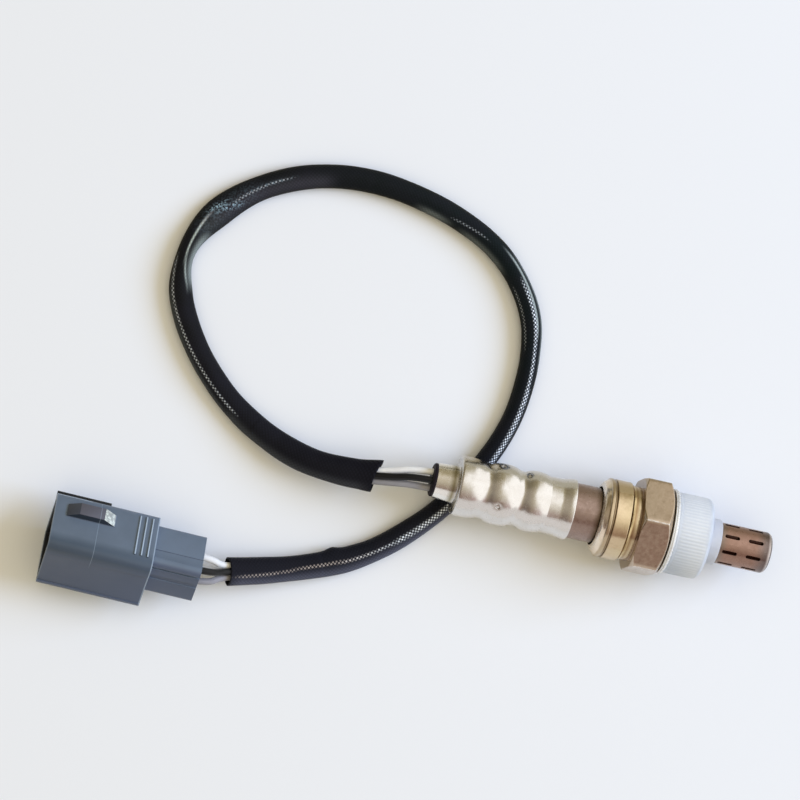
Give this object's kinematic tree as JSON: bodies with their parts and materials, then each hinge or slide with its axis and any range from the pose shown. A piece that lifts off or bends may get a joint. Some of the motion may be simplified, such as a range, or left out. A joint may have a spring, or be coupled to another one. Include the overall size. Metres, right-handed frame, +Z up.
{
  "type": "oxygen sensor",
  "caption": "Exhaust oxygen sensor: hex body with a capped thread, slotted protector tube and ribbed metal shell, on a sleeved lead with a rectangular plug.",
  "frame": {"origin": "centre of the sealing seat, where the sensor's axis crosses the front face of the hex", "axes": "+X along the sensor's axis towards the exhaust tip, +Z up from the surface it lies on, +Y to the side on which the lead makes its loop"},
  "size_m": [0.1725, 0.1151, 0.0252],
  "materials": {
    "nickel_steel": "satin nickel-plated steel",
    "forged_steel": "turned stainless steel",
    "washer_steel": "bright rolled steel",
    "protector_steel": "drawn stainless steel",
    "cap_plastic": "milky translucent plastic",
    "zirconia": "sintered ceramic",
    "alumina": "sintered ceramic",
    "talc": "pressed powder",
    "packing_steel": "soft steel",
    "ptfe": "porous white plastic",
    "terminal_metal": "tin-plated sheet",
    "seal_rubber": "moulded",
    "wire_white": "silicone insulation",
    "wire_black": "silicone insulation",
    "wire_grey": "silicone insulation",
    "woven_sleeve": "coated woven glass fibre",
    "plug_plastic": "moulded, slate",
    "lock_plastic": "moulded"
  },
  "bodies": {
    "root": {"air_filter": "ptfe", "ceramic_bush": "alumina", "connector_housing": "plug_plastic", "crimp_ring": "packing_steel", "gasket_ring": "washer_steel", "grommet": "seal_rubber", "ground_contact": "terminal_metal", "heater_contact_1": "terminal_metal", "heater_contact_2": "terminal_metal", "heater_rod": "alumina", "housing": "forged_steel", "inner_cover": "protector_steel", "inner_protector": "protector_steel", "outer_cover": "nickel_steel", "outer_protector": "protector_steel", "pin_1": "terminal_metal", "pin_2": "terminal_metal", "pin_3": "terminal_metal", "pin_4": "terminal_metal", "seat_packing": "packing_steel", "signal_contact": "terminal_metal", "sleeve": "woven_sleeve", "talc_seal": "talc", "terminal_lock": "lock_plastic", "terminal_separator": "alumina", "thread_cap": "cap_plastic", "wire_black": "wire_black", "wire_grey": "wire_grey", "wire_seal_1": "seal_rubber", "wire_seal_2": "seal_rubber", "wire_seal_3": "seal_rubber", "wire_seal_4": "seal_rubber", "wire_white_1": "wire_white", "wire_white_2": "wire_white", "zirconia_element": "zirconia"}
  },
  "joints": []
}
